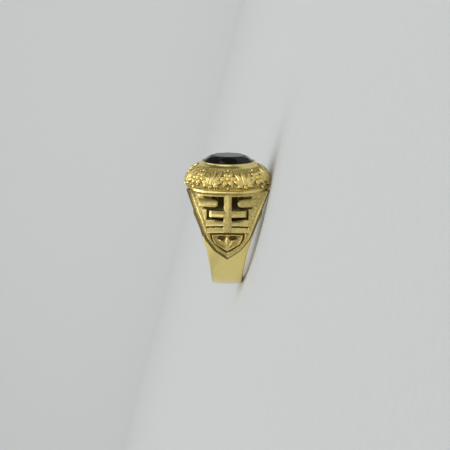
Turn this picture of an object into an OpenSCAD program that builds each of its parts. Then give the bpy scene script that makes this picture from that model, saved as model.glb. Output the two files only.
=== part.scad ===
// A man's cast gold ring with an oval black onyx, pierced shoulders and an ornamented head.
// The ring is drawn upright first: X runs along the finger, Y from shoulder to shoulder and
// Z from the foot of the shank to the stone. lay_down() then turns it onto its side, where it
// rests on two shoulder corners and on the edge of its foot.

/* [Finger hole and shank] */
// Radius of the hole for the finger
finger_r = 9.5; // [9.3:0.1:9.6]
// Radius of the shank's outside at the foot
foot_r = 11.1; // [10.9:0.1:11.4]
// Half the shank's width at the foot
foot_half = 2.8; // [2.4:0.1:3]
// Radius of the crown across the shank and shoulders
crown_r = 14; // [13:1:20]

/* [Shoulders] */
// Radius of the shoulder panels, taken from their own raised centre
panel_r = 11.85; // [11.8:0.05:12]
// Height of that centre above the finger's axis
panel_rise = 0.6; // [0.5:0.05:0.7]
// Depth of the sunk ground inside the panel's border
ground_depth = 0.35; // [0.2:0.05:0.4]
// How far the cross and the outer rim stand above the border
ridge_height = 0.2; // [0.1:0.05:0.3]
// Depth of the slots round the crossbar
slot_depth = 1.1; // [0.6:0.1:1.2]

/* [Head] */
// Length of the head, along the finger
head_length = 16.1; // [15.7:0.1:16.1]
// Width of the head, across the finger
head_width = 15.7; // [15.5:0.1:15.9]
// Height of the bezel's rim above the finger's axis
rim_height = 12.8; // [12.6:0.1:13]
// How far the ornament stands out of the frieze
relief = 0.4; // [0.3:0.05:0.5]
// Pairs of rosette and leaf spray round the frieze
motif_pairs = 8; // [6:1:8]

/* [Stone] */
// Length of the stone, along the finger
stone_length = 10; // [9.6:0.1:10]
// Width of the stone, across the finger
stone_width = 8; // [7.6:0.1:8]
// Height of the crown from the girdle to the table
crown_height = 1.28; // [1:0.02:1.4]
// Depth of the pavilion below the girdle
pavilion_depth = 2.3; // [2:0.05:2.4]
// Gap left between the stone and its seat
seat_gap = 0.06; // [0.04:0.01:0.08]

/* [Hidden] */
$fn = 96;
// Sides of the large round forms
round_sides = 180;

// The ring's outline seen from a shoulder. Columns: height, half the width
OUTLINE = [
    [-foot_r - 1, foot_half],
    [-9.6, foot_half],
    [-8.2, foot_half + 0.08],
    [-6, foot_half + 0.3],
    [-3.8, foot_half + 0.62],
    [-1.9, foot_half + 0.98],
    [-0.8, 4.2],
    [0.2, 4.45],
    [2, 5.0],
    [4.5, 6.05],
    [7, 7.25],
    [8.3, 7.95],
];
corner_height = OUTLINE[len(OUTLINE) - 1][0];
// Half the shoulder panel's width at its upper corners, on which the ring rests
corner_half = 7.72;

// The head's dome from bottom to top. Columns: height, half length, half width, squareness
HEAD = [
    [8.15, 8.0, 7.85, 3.5],
    [8.7, 8.05, 7.8, 3.4],
    [8.85, 7.92, 7.65, 3.4],
    [9.6, 7.72, 7.35, 3.1],
    [10.4, 7.2, 6.8, 2.8],
    [11.2, 6.5, 5.98, 2.5],
    [11.75, 6.0, 5.4, 2.3],
    [11.85, 6.12, 5.52, 2.3],
    [12.25, 5.7, 5.05, 2.2],
    [12.5, 5.4, 4.7, 2.1],
    [12.45, 5.24, 4.5, 2.1],
    [rim_height, 5.1, 4.3, 2.1],
];
head_sides = 48;
frieze_mid = 10.4;
// How deep the motifs reach into the dome
sunk = 0.45;

girdle_top = rim_height - 0.18;
girdle_thick = 0.2;
girdle_low = girdle_top - girdle_thick;
table_share = 0.62;
table_height = girdle_top + crown_height;
half_length = stone_length / 2;
half_width = stone_width / 2;
lip_overlap = 0.28;

// The shoulder's cross and steps. Heights are above the finger's axis, widths are halves
upright_half = 0.75;
field_half = 3.75;
field_low = 1.65;
wide_field_half = 5.2;
window_half = 2.95;
window_low = 5.72;
window_top = 8.05;
tab_low = 6.2;
tab_top = 7.3;
tab_end = 1.75;
bar_half = 3.42;
bar_low = 4.3;
bar_top = 5.6;
slot_wide = 0.26;
step_line = 2.78;
line_wide = 0.18;
shield_top = 1.42;
shield_edge = 0.26;
rib_half = 0.3;
ray_long = 2.4;
ray_wide = 0.34;
ray_turn = 52;
panel_tip = -3.6;
rim_inset = 0.12;
rim_wide = 0.43;

foot_edge = foot_r - foot_half * foot_half / (2 * crown_r);
lean = atan2(corner_half - foot_half, corner_height + foot_edge);
lift = corner_half * cos(lean) - corner_height * sin(lean);
reach_up = table_height * cos(lean) + table_share * half_length * sin(lean);
reach_down = foot_edge * cos(lean) + foot_half * sin(lean);

// Turns the upright ring onto its side, over the middle of the ground that it covers
module lay_down() {
    translate([(reach_down - reach_up) / 2, 0, lift])
        rotate([0, 90 - lean, 0])
            children();
}

// Mirrors a flat shape to the left as well
module both_sides() {
    children();
    mirror([1, 0])
        children();
}

// Carries a flat drawing of the shoulder, X along the finger and Y up, through the whole ring
module through_shoulders() {
    rotate([90, 0, 0])
        linear_extrude(height = 30, center = true)
            children();
}

// A solid barrel round the finger's axis, crowned across its width
module barrel(r, rise) {
    translate([0, 0, rise])
        rotate([0, 90, 0])
            rotate_extrude($fn = round_sides)
                intersection() {
                    translate([r - crown_r, 0])
                        circle(r = crown_r, $fn = 240);
                    translate([0, -9])
                        square([r + 1, 18]);
                }
}

// The points up a shape's right side and down its left, with its half width known at each height.
// A tip on the middle line is drawn once, by the right side
function up_right(rows, inset = 0) = [for (row = rows) [row[1] - inset, row[0]]];
function down_left(rows, inset = 0) = [
    for (i = [len(rows) - 1:-1:0])
        if (rows[i][1] - inset > 0.001)
            [inset - rows[i][1], rows[i][0]]
];
function reversed(points) = [for (i = [len(points) - 1:-1:0]) points[i]];

module mirrored_outline(rows, inset = 0) {
    polygon(concat(up_right(rows, inset), down_left(rows, inset)));
}

// The shoulder panel, down to its pointed tip. An inset draws its rows further in
function panel_rows(inset = 0) = [
    [panel_tip + inset * 1.22, inset],
    [-1.85 + inset * 0.6, 2.45],
    [-0.35, 3.65],
    [0.3, 4.15],
    [2, 4.8],
    [4.5, 5.85],
    [7, 7.05],
    [corner_height, corner_half],
];

function shield_rows(inset = 0) = [
    [-1.95 + inset * 1.4, inset],
    [-0.55 + inset, 2.2],
    [0.4, 2.75],
    [shield_top - inset, 2.95],
];

module panel_outline() {
    mirrored_outline(panel_rows());
}

module shield_outline(inset = 0) {
    mirrored_outline(shield_rows(inset), inset);
}

// The sunk ground around the cross, wide above and narrow below
module field_outline() {
    translate([-field_half, field_low])
        square([2 * field_half, window_low - field_low]);
    translate([-wide_field_half, window_low])
        square([2 * wide_field_half, corner_height + 0.4 - window_low]);
}

module side_tab() {
    tab_r = (tab_top - tab_low) / 2;
    translate([tab_end + tab_r, tab_low + tab_r])
        circle(r = tab_r);
    translate([tab_end + tab_r, tab_low])
        square([wide_field_half + 0.1 - tab_end - tab_r, 2 * tab_r]);
}

module upright() {
    translate([-upright_half, step_line - 1])
        square([2 * upright_half, corner_height - step_line + 1]);
}

module crossbar() {
    translate([-bar_half, bar_low])
        square([2 * bar_half, bar_top - bar_low]);
}

// The two steps that the cross stands on, with a thin line between them
module steps() {
    half = field_half + 0.1;
    upper_low = step_line + line_wide / 2;
    translate([-half, field_low])
        square([2 * half, step_line - line_wide / 2 - field_low]);
    translate([-half, upper_low])
        square([2 * half, bar_low - slot_wide - upper_low]);
}

// Openings beside the upright, above the crossbar
module window() {
    difference() {
        translate([upright_half, window_low])
            square([window_half - upright_half, window_top - window_low]);
        side_tab();
    }
}

// Deep slots below the crossbar and past its ends
module bar_slot() {
    translate([upright_half, bar_low - slot_wide])
        square([bar_half + slot_wide - upright_half, slot_wide]);
    translate([bar_half, bar_low - slot_wide])
        square([slot_wide, bar_top - bar_low + 2 * slot_wide]);
}

module shank() {
    rise = panel_rise / 2;
    intersection() {
        barrel(foot_r + rise, rise);
        through_shoulders()
            mirrored_outline(OUTLINE);
    }
}

// The raised panels on both shoulders, with border, cross, steps and shield
module shoulder_panels() {
    intersection() {
        barrel(panel_r - ground_depth, panel_rise);
        through_shoulders()
            panel_outline();
    }
    intersection() {
        barrel(panel_r, panel_rise);
        through_shoulders() {
            difference() {
                panel_outline();
                field_outline();
                shield_outline(0.05);
            }
            steps();
            both_sides()
                side_tab();
        }
    }
    raised() {
        upright();
        crossbar();
    }
    raised()
        outer_rim();
    raised()
        shield_relief();
}

// Carries a flat drawing up to the highest level of the shoulder
module raised() {
    intersection() {
        barrel(panel_r + ridge_height, panel_rise);
        through_shoulders()
            children();
    }
}

// A thin rim along the panel's edge, open at the head
module outer_rim() {
    far = rim_inset + rim_wide;
    outer = panel_rows(rim_inset);
    inner = panel_rows(far);
    polygon(
        concat(
            up_right(outer, rim_inset), reversed(up_right(inner, far)),
            reversed(down_left(inner, far)), down_left(outer, rim_inset)
        )
    );
}

// The shield's edge, a rib down its middle and two rays to the tip
module shield_relief() {
    difference() {
        shield_outline();
        shield_outline(shield_edge);
    }
    low = -1.35;
    translate([-rib_half, low])
        square([2 * rib_half, shield_top - 0.1 - low]);
    both_sides()
        translate([0, low])
            rotate(ray_turn)
                square([ray_long, ray_wide]);
}

// A closed body through level superellipses, one for each row
module lofted(rows, sides) {
    levels = len(rows);
    points = [
        for (row = rows)
            for (i = [0:sides - 1])
                oval_point(360 * i / sides, row)
    ];
    walls = [
        for (k = [0:levels - 2])
            for (i = [0:sides - 1])
                let (a = k * sides + i, b = k * sides + (i + 1) % sides)
                    each [[a, a + sides, b], [b, a + sides, b + sides]]
    ];
    bottom = [for (i = [0:sides - 1]) i];
    top = [for (i = [sides - 1:-1:0]) (levels - 1) * sides + i];
    polyhedron(points, concat(walls, [bottom], [top]));
}

// The point of a superellipse in the direction of an angle, at the row's height
function oval_point(angle, row) =
    let (
        c = pow(abs(cos(angle)) / row[1], row[3]),
        s = pow(abs(sin(angle)) / row[2], row[3]),
        r = pow(c + s, -1 / row[3])
    )
    [r * cos(angle), r * sin(angle), row[0]];

// A row of the head's table at any height of the frieze
function head_row(height) =
    let (k = max([for (i = [0:len(HEAD) - 3]) HEAD[i][0] <= height ? i : 0]))
    let (t = (height - HEAD[k][0]) / (HEAD[k + 1][0] - HEAD[k][0]))
    HEAD[k] * (1 - t) + HEAD[k + 1] * t;

// Angles round the frieze at even distances along its middle
walk_steps = 180;
mid_row = head_row(frieze_mid);
walked = [
    for (i = 0, d = 0; i <= walk_steps;
        d = d + norm(oval_point(360 * (i + 1) / walk_steps, mid_row)
            - oval_point(360 * i / walk_steps, mid_row)),
        i = i + 1)
        [d, 360 * i / walk_steps]
];
function angle_at(share) = lookup(share * walked[walk_steps][0], walked);

// Puts a child that points up +Z onto the frieze, its X axis running down the slope
module on_frieze(share, height) {
    angle = angle_at(share);
    here = oval_point(angle, head_row(height));
    ahead = oval_point(angle + 1, head_row(height)) - oval_point(angle - 1, head_row(height));
    up = oval_point(angle, head_row(height + 0.3)) - oval_point(angle, head_row(height - 0.3));
    outward = cross(ahead, up);
    turn = atan2(outward[1], outward[0]);
    tilt = acos(outward[2] / norm(outward));
    translate(here)
        rotate([0, tilt, turn])
            children();
}

// A flower of six round petals with sloping sides and a domed heart
module rosette() {
    petal_r = 0.44;
    petal_out = 0.62;
    for (k = [0:5])
        rotate(60 * k + 30)
            translate([petal_out, 0, -sunk])
                linear_extrude(height = sunk + relief * 0.85, scale = 0.8, slices = 1, $fn = 4)
                    circle(r = petal_r, $fn = 12);
    translate([0, 0, relief * 0.55])
        sphere(r = petal_r, $fn = 14);
}

// A pointed leaf along X with a ridge along its middle, its foot at the origin
module leaf(length, width, height) {
    side = [for (i = [-2:2]) [length * i / 5, width / 2 * cos(36 * i)]];
    back = [for (i = [2:-1:-2]) [length * i / 5, -width / 2 * cos(36 * i)]];
    outline = concat([[-length / 2, 0]], side, [[length / 2, 0]], back);
    translate([length / 2, 0, -sunk])
        linear_extrude(height = sunk + height, scale = [0.9, 0.4], slices = 1, $fn = 4)
            polygon(outline);
}

// An upright leaf between two that lean outwards, with a berry at its foot
module leaf_spray() {
    foot = 0.8;
    translate([foot, 0, 0])
        rotate(180)
            leaf(2.2, 1.05, relief * 1.2);
    for (side = [-1, 1])
        translate([foot - 0.25, 0.2 * side, 0])
            rotate(130 * side)
                leaf(1.95, 0.95, relief);
    translate([foot + 0.15, 0, 0])
        sphere(r = 0.32, $fn = 12);
}

// The dome with its motifs, brought to its length and width as one casting
module head() {
    resize([head_length, head_width, 0]) {
        lofted(HEAD, head_sides);
        for (i = [0:motif_pairs - 1]) {
            on_frieze(i / motif_pairs, frieze_mid)
                rosette();
            on_frieze((i + 0.5) / motif_pairs, frieze_mid)
                leaf_spray();
        }
    }
}

// Room for the stone: a light hole up from the finger, a bearing, the girdle and the lip
module stone_seat() {
    hole_long = 0.58 * half_length;
    hole_wide = 0.58 * half_width;
    long = half_length + seat_gap;
    wide = half_width + seat_gap;
    bearing_low = girdle_low - pavilion_depth * 0.42 - 0.1;
    lofted([
        [finger_r - 1.5, hole_long, hole_wide, 2],
        [bearing_low, hole_long, hole_wide, 2],
        [girdle_low - 0.04, long, wide, 2],
        [girdle_top + 0.04, long, wide, 2],
        [rim_height + 0.06, long - lip_overlap, wide - lip_overlap, 2],
        [rim_height + 1, long - lip_overlap, wide - lip_overlap, 2],
    ], head_sides);
}

module finger_hole() {
    rotate([0, 90, 0])
        cylinder(r = finger_r, h = 24, center = true, $fn = round_sides);
}

// The gold is cast in one piece
module ring_body() {
    color("gold")
        lay_down()
            difference() {
                union() {
                    shank();
                    shoulder_panels();
                    head();
                }
                finger_hole();
                stone_seat();
                through_shoulders()
                    both_sides()
                        window();
                difference() {
                    through_shoulders()
                        both_sides()
                            bar_slot();
                    barrel(panel_r - slot_depth, panel_rise);
                }
            }
}

// A point of the stone: an angle, a share of the girdle's size, and a height
function gem_point(angle, share, height) =
    [share * half_length * cos(angle), share * half_width * sin(angle), height];

// An oval brilliant: table, 8 stars, 8 kites, 16 upper girdle facets and a faceted pavilion
module onyx_stone() {
    step = 22.5;
    star_share = 0.8;
    star_height = crown_height * (1 - star_share * cos(step)) / (1 - table_share);
    lower_share = 0.3;
    lower_height = pavilion_depth * (1 - lower_share * cos(step));
    table = [for (k = [0:7]) gem_point(2 * step * k, table_share, table_height)];
    stars = [for (k = [0:7]) gem_point(2 * step * k + step, star_share, girdle_top + star_height)];
    upper = [for (k = [0:15]) gem_point(step * k, 1, girdle_top)];
    lower = [for (k = [0:15]) gem_point(step * k, 1, girdle_low)];
    belly = [for (k = [0:7]) gem_point(2 * step * k + step, lower_share, girdle_low - lower_height)];
    culet = [0, 0, girdle_low - pavilion_depth];
    points = concat(table, stars, upper, lower, belly, [culet]);
    // where each ring of points starts in the list
    star_at = 8;
    upper_at = 16;
    lower_at = 32;
    belly_at = 48;
    culet_at = 56;
    facets = [
        for (k = [0:7])
            let (next = (k + 1) % 8, before = (k + 7) % 8, g = 2 * k, after = (2 * k + 2) % 16)
                each [
                    [k, next, star_at + k],
                    [k, star_at + k, upper_at + g, star_at + before],
                    [star_at + k, upper_at + g + 1, upper_at + g],
                    [star_at + k, upper_at + after, upper_at + g + 1],
                    [upper_at + g, upper_at + g + 1, lower_at + g + 1, lower_at + g],
                    [upper_at + g + 1, upper_at + after, lower_at + after, lower_at + g + 1],
                    [belly_at + k, lower_at + g, lower_at + g + 1],
                    [belly_at + k, lower_at + g + 1, lower_at + after],
                    [culet_at, belly_at + before, lower_at + g, belly_at + k],
                ]
    ];
    color("black")
        lay_down()
            polyhedron(points, concat([[7, 6, 5, 4, 3, 2, 1, 0]], facets));
}

ring_body();
onyx_stone();
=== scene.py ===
# %% [markdown]
# # A gold ring with a faceted onyx
# The object is a man's cast ring: a polished shank, two pierced shoulders that carry a cross over
# a shield, and a domed head with a band of flowers and leaves under a black stone. It lies on its
# side, resting on two shoulder corners and on the edge of its foot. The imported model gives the
# sizes and the place. Each cell adds one piece or one finish, and says why it is made that way.

# %% Load the frame
import math
import bpy
import numpy as np
from mathutils import Matrix, Vector


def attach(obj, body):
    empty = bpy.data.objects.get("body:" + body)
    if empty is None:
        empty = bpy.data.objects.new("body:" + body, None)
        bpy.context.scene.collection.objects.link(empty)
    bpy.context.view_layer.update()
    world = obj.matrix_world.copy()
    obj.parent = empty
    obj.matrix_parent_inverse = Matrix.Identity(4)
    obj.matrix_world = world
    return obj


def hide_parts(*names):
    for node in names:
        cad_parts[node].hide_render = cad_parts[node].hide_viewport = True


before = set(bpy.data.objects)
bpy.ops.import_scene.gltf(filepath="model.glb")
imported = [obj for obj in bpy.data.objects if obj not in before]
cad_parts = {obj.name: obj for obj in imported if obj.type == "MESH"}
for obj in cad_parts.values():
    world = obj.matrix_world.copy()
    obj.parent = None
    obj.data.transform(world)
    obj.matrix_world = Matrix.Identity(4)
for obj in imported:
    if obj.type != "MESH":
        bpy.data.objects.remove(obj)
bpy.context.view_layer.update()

# %% [markdown]
# ## Where things are
# A ring is easiest to draw upright, so every mesh is drawn with F along the finger, S from
# shoulder to shoulder and H from the foot up to the stone, in millimetres. One matrix then lays
# the ring on its side. The numbers repeat the sizes of the ring's own drawing. R stands for a
# radius, and RISE for how far a barrel's axis lies above the finger's.

# %% Sizes and the matrix that lays the ring down
FINGER_R = 9.5
FOOT_R = 11.1
FOOT_HALF = 2.8
CROWN_R = 14.0
SHANK_RISE = 0.3
PANEL_R = 11.85
PANEL_RISE = 0.6
GROUND_DEPTH = 0.35
CORNER_HALF = 7.72
CORNER_HEIGHT = 8.3
STONE_HALF_LONG = 5.0
STONE_HALF_WIDE = 4.0
GIRDLE_TOP = 12.62
GIRDLE_LOW = 12.42
CROWN_HEIGHT = 1.28
PAVILION_DEPTH = 2.3
TABLE_SHARE = 0.62

foot_edge = FOOT_R - FOOT_HALF ** 2 / (2 * CROWN_R)
lean = math.atan2(CORNER_HALF - FOOT_HALF, CORNER_HEIGHT + foot_edge)
lift = CORNER_HALF * math.cos(lean) - CORNER_HEIGHT * math.sin(lean)
table_height = GIRDLE_TOP + CROWN_HEIGHT
reach_up = table_height * math.cos(lean) + TABLE_SHARE * STONE_HALF_LONG * math.sin(lean)
reach_down = foot_edge * math.cos(lean) + FOOT_HALF * math.sin(lean)
along_finger = Vector((math.sin(lean), 0, -math.cos(lean)))
across = Vector((0, 1, 0))
to_stone = Vector((math.cos(lean), 0, math.sin(lean)))
hole_centre = Vector(((reach_down - reach_up) / 2, 0, lift)) * 0.001
turn = Matrix((along_finger, across, to_stone)).transposed().to_4x4()
LAY_DOWN = Matrix.Translation(hole_centre) @ turn @ Matrix.Scale(0.001, 4)
print("lean of the finger's axis in degrees:", round(math.degrees(lean), 2))

# %% Helpers for meshes
def link(obj):
    bpy.context.scene.collection.objects.link(obj)
    return obj


def mesh_piece(name, points, faces, matrix=LAY_DOWN):
    """A new object from points in upright millimetres and lists of corners."""
    mesh = bpy.data.meshes.new(name)
    mesh.from_pydata(np.asarray(points, float).tolist(), [], [list(map(int, f)) for f in faces])
    mesh.transform(matrix)
    mesh.update()
    return link(bpy.data.objects.new(name, mesh))


def grid_faces(rows, columns, wrap_rows=False, wrap_columns=False, start=0):
    """Four-cornered faces over a grid of points stored row by row."""
    r = np.arange(rows if wrap_rows else rows - 1)
    c = np.arange(columns if wrap_columns else columns - 1)
    rr, cc = np.meshgrid(r, c, indexing="ij")
    below, right = (rr + 1) % rows, (cc + 1) % columns
    corners = [rr * columns + cc, rr * columns + right, below * columns + right, below * columns + cc]
    return start + np.stack(corners, -1).reshape(-1, 4)


def ramp(distance, width):
    """From 0 to 1 as a distance goes through zero, with soft ends."""
    t = np.clip(distance / width + 0.5, 0, 1)
    return t * t * (3 - 2 * t)


def bump(distance, width):
    """A soft ridge: 1 where the distance is zero, fading to both sides."""
    return np.exp(-(distance / width) ** 2)


def bulge(distance, reach, power=0.5):
    """A rounded moulding: 1 in its middle and 0 at its reach, flatter with a smaller power."""
    return np.clip(1 - (distance / reach) ** 2, 0, 1) ** power


def soft_line(rows, blur):
    """A table of (height, value) rows as a function, with its corners rounded."""
    step = 0.02
    rows = np.array(rows, float)
    first = (rows[1, 1] - rows[0, 1]) / (rows[1, 0] - rows[0, 0])
    last = (rows[-1, 1] - rows[-2, 1]) / (rows[-1, 0] - rows[-2, 0])
    heights = np.arange(rows[0, 0] - 2, rows[-1, 0] + 2, step)
    values = np.interp(heights, rows[:, 0], rows[:, 1])
    values += np.minimum(heights - rows[0, 0], 0) * first
    values += np.maximum(heights - rows[-1, 0], 0) * last
    reach = int(blur / step)
    kernel = np.hanning(2 * reach + 3)[1:-1]
    padded = np.pad(values, reach, mode="reflect", reflect_type="odd")
    smooth = np.convolve(padded, kernel / kernel.sum(), mode="valid")
    return lambda h: np.interp(h, heights, smooth)


def closed_loft(name, points, rows, columns):
    """A closed piece from rows of points that go round it, with a flat cap at both ends."""
    faces = grid_faces(rows, columns, wrap_columns=True).tolist()
    last = [(rows - 1) * columns + i for i in range(columns)]
    return mesh_piece(name, points, faces + [list(range(columns - 1, -1, -1)), last])


def plain_mesh(obj, name):
    """The mesh that an object's modifiers make; the modifiers are then removed."""
    bpy.context.view_layer.update()
    result = obj.evaluated_get(bpy.context.evaluated_depsgraph_get())
    mesh = bpy.data.meshes.new_from_object(result)
    obj.modifiers.clear()
    mesh.name = name
    return mesh


def cut(piece, tool, operation="DIFFERENCE"):
    """Joins or cuts two closed meshes for good, and removes the tool."""
    step = piece.modifiers.new("Cut", "BOOLEAN")
    step.operation = operation
    step.solver = "MANIFOLD"
    step.object = tool
    old = piece.data
    piece.data = plain_mesh(piece, piece.name)
    bpy.data.meshes.remove(old)
    bpy.data.objects.remove(tool)


def read_points(mesh):
    """A mesh's points where they are, in metres."""
    flat = np.zeros(len(mesh.vertices) * 3, np.float32)
    mesh.vertices.foreach_get("co", flat)
    return flat.reshape(-1, 3)


def write_points(mesh, points, matrix=None):
    """Sets a mesh's points, and then moves them all by a matrix if one is given."""
    mesh.vertices.foreach_set("co", np.asarray(points, np.float32).ravel())
    if matrix is not None:
        mesh.transform(matrix)
    mesh.update()


def upright_points(mesh):
    """A mesh's points back in upright millimetres."""
    inverse = np.array(LAY_DOWN.inverted())
    return read_points(mesh) @ inverse[:3, :3].T + inverse[:3, 3]


def store(mesh, name, values):
    """Keeps one number for each point of a mesh, for its material to read."""
    layer = mesh.attributes.get(name) or mesh.attributes.new(name, "FLOAT", "POINT")
    layer.data.foreach_set("value", np.asarray(values, np.float32))

# %% [markdown]
# ## The shank
# On the real ring the shank is a polished band, narrow at the foot and wide at the shoulders, with
# a crowned outside and eased edges. It could be a bevelled cylinder, but its width changes all the
# way round, so it is made from closed cross-sections, one every degree or so. Each section runs
# over the crown, round the edge, down the side and back through the finger hole.

# %% The shank's outline and its crowned barrels
half_width = soft_line([
    (-12.1, 2.8), (-9.6, 2.8), (-8.2, 2.88), (-6, 3.1), (-3.8, 3.42), (-1.9, 3.78), (-0.8, 4.2),
    (0.2, 4.45), (2, 5.0), (4.5, 6.05), (7, 7.25), (8.3, 7.95),
], 0.5)


def crowned(radius, f):
    """A barrel's radius at a distance along the finger."""
    return radius - CROWN_R + np.sqrt(CROWN_R ** 2 - f ** 2)

# %% The shank as a loft of closed sections
EDGE = 0.3
INNER_EDGE = 0.2
LEAST_SIDE, SIDE_LEAN = 0.05, 0.05
TOP_ANGLE = 63
SECTIONS = 241


def shank_section(angle):
    """The points of one closed section, as (distance along the finger, distance from the axis)."""
    direction = math.sin(angle)

    def outside(f):
        reach = crowned(FOOT_R + SHANK_RISE, f)
        return SHANK_RISE * direction + np.sqrt(reach ** 2 - (SHANK_RISE * math.cos(angle)) ** 2)

    # the crown falls away, so the band ends where its side would be lower than both rounded edges
    f = np.linspace(5, 8, 301)
    widest = float(f[outside(f) > FINGER_R + EDGE + INNER_EDGE + LEAST_SIDE][-1])
    wide = min(float(half_width((FOOT_R - 0.2) * direction)), widest)
    inside_wide = min(float(half_width(FINGER_R * direction)), widest + SIDE_LEAN)
    edge_height = float(outside(np.array(wide - EDGE)))
    turns = np.linspace(0, math.pi / 2, 7)
    crown = np.linspace(0, 1, 21)[:-1] * (wide - EDGE)
    half = [(f, float(outside(np.array(f)))) for f in crown]
    half += [(wide - EDGE + EDGE * math.sin(t), edge_height - EDGE + EDGE * math.cos(t)) for t in turns]
    low = FINGER_R + INNER_EDGE
    side_top = edge_height - EDGE
    for share in (0.33, 0.67):
        half.append((wide + (inside_wide - wide) * share, side_top + (low - side_top) * share))
    corner = inside_wide - INNER_EDGE
    half += [(corner + INNER_EDGE * math.cos(t), low - INNER_EDGE * math.sin(t)) for t in turns]
    half += [(corner * share, FINGER_R) for share in (0.75, 0.5, 0.25, 0)]
    other = [(-f, r) for f, r in half[-2:0:-1]]
    return half + other


angles = np.radians(np.linspace(TOP_ANGLE, -180 - TOP_ANGLE, SECTIONS))
sections = [shank_section(a) for a in angles]
points = [(f, r * math.cos(a), r * math.sin(a)) for a, s in zip(angles, sections) for f, r in s]
band = closed_loft("ring_band", points, SECTIONS, len(sections[0]))


def block(outline, low, high):
    """A closed block over a flat outline of (F, H) points, from one distance out to another."""
    count = len(outline)
    points = [(f, distance, h) for distance in (low, high) for f, h in outline]
    faces = [[i, (i + 1) % count, count + (i + 1) % count, count + i] for i in range(count)]
    faces += [list(range(count))[::-1], list(range(count, 2 * count))]
    area = sum(a[0] * b[1] - a[1] * b[0] for a, b in zip(outline, outline[1:] + outline[:1]))
    if area > 0:
        faces = [f[::-1] for f in faces]
    return mesh_piece("block", points, faces)


BAND_TOP = 8.28
FAR = 20
cut(band, block([(-FAR, BAND_TOP), (FAR, BAND_TOP), (FAR, FAR), (-FAR, FAR)], -FAR, FAR))
print("shank:", len(band.data.vertices), "points")

# %% [markdown]
# ## The shoulder panels
# Each shoulder carries a cast panel: a raised border with a rim, a sunk ground, an upright with a
# ridge, a crossbar with worn crests, rounded tabs, two steps and a shield. It could be cut from
# many small blocks, but cast edges are soft, so the panel is one dense sheet whose height is a sum
# of soft ramps. The sheet gets sides and a back, and is joined to the shank as one closed body.

# %% The panel's outline and shield
FIELD_HALF, FIELD_LOW, WIDE_FIELD_HALF = 3.75, 1.65, 5.2
WINDOW_HALF, WINDOW_LOW, WINDOW_TOP = 2.95, 5.72, 7.86
UPRIGHT_HALF = 0.75
TAB_LOW, TAB_TOP, TAB_END = 6.02, 7.34, 1.75
TAB_MIDDLE = (TAB_LOW + TAB_TOP) / 2
TAB_REACH = (TAB_TOP - TAB_LOW) / 2
BAR_HALF, BAR_LOW, BAR_TOP, SLOT = 3.42, 4.3, 5.6, 0.26
STEP_LINE, STEP_GAP = 2.78, 0.1
ARCH = 0.015
SHIELD_TOP, PANEL_TIP = 1.42, -3.6
panel_half = soft_line([
    (PANEL_TIP, 0.0), (-1.85, 2.45), (-0.35, 3.65), (0.3, 4.15), (2, 4.8), (4.5, 5.85), (7, 7.05),
    (CORNER_HEIGHT, CORNER_HALF),
], 0.3)
shield_half = soft_line([(-1.95, 0.0), (-0.55, 2.2), (0.4, 2.75), (SHIELD_TOP, 2.95)], 0.2)


def edge_distance(line, f, h):
    """Distance inside a mirrored outline, measured square to its edge."""
    reach = 0.05
    slope = (line(h + reach) - line(h - reach)) / (2 * reach)
    return (line(h) - np.abs(f)) / np.sqrt(1 + slope ** 2)


def shield_distance(f, h):
    """Distance inside the shield, whose top edge is arched a little."""
    return np.minimum(edge_distance(shield_half, f, h), SHIELD_TOP - ARCH * f ** 2 - h)


def box_distance(f, h, half, low, top):
    """Distance inside an upright box on the panel, below zero outside it."""
    return np.minimum(half - np.abs(f), np.minimum(h - low, top - h))

# %% Border, ground and roll of the panel, in millimetres above its border
def border_relief(f, h):
    """A convex moulding with a finer rim along its outer edge and stipple on its inner part."""
    inside = edge_distance(panel_half, f, h)
    half, rise = 0.62, 0.17
    rim_in, rim_width, rim_rise = 0.34, 0.13, 0.1
    groove_in, groove_width, groove_depth = 0.66, 0.1, 0.06
    relief = rise * bulge(inside - half, half, 0.7)
    rim = rim_rise * bump(inside - rim_in, rim_width)
    relief += rim - groove_depth * bump(inside - groove_in, groove_width)
    stipple = np.sin(9.1 * f + 3 * np.sin(2.3 * h)) * np.sin(8.3 * h + 2 * np.sin(3.1 * f))
    stipple += 0.6 * np.sin(17.3 * f + 4.1 * h) * np.sin(15.7 * h - 5.2 * f)
    stipple_in, stipple_rise = 0.7, 0.03
    return relief + stipple_rise * stipple * ramp(inside - stipple_in, 0.3)


def ground_mask(f, h):
    """1 on the sunk ground round the upright: narrow below, and wide beside the tabs."""
    wall, fade_out, fade = 0.22, 4.5, 1.6
    narrow = box_distance(f, h + ARCH * f ** 2, FIELD_HALF, FIELD_LOW, WINDOW_LOW + 0.2)
    wide = box_distance(f, h, WIDE_FIELD_HALF, WINDOW_LOW, TAB_TOP + 0.32)
    return np.maximum(ramp(narrow, wall), ramp(wide, wall) * ramp(fade_out - np.abs(f), fade))


def with_roll(relief, f, h):
    """Adds the roll over the windows, under the head, which is fuller over each window."""
    side = np.abs(f)
    height, half_thick, ends = 7.98, 0.25, 5.6
    full = bump(side - 1.85, 0.95)
    roll = bulge(h - height + 0.05 * full, half_thick + 0.1 * full) * ramp(ends - side, 0.8)
    return np.maximum(relief, (0.14 + 0.1 * full) * roll - 0.05 * (1 - roll) - 0.4 * (roll == 0))

# %% Steps, tabs, crossbar and upright
# share of the way down, height: each crest catches the light
STEP_CREST = ((0, -0.08), (0.12, 0.02), (0.74, 0.03), (0.96, 0.17), (1, 0.12))
BAR_CRESTS = ((0, 0), (0.12, 0.27), (0.5, 0.2), (0.6, 0.22), (0.85, 0.31), (0.93, 0.29), (1, 0.1))


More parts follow.
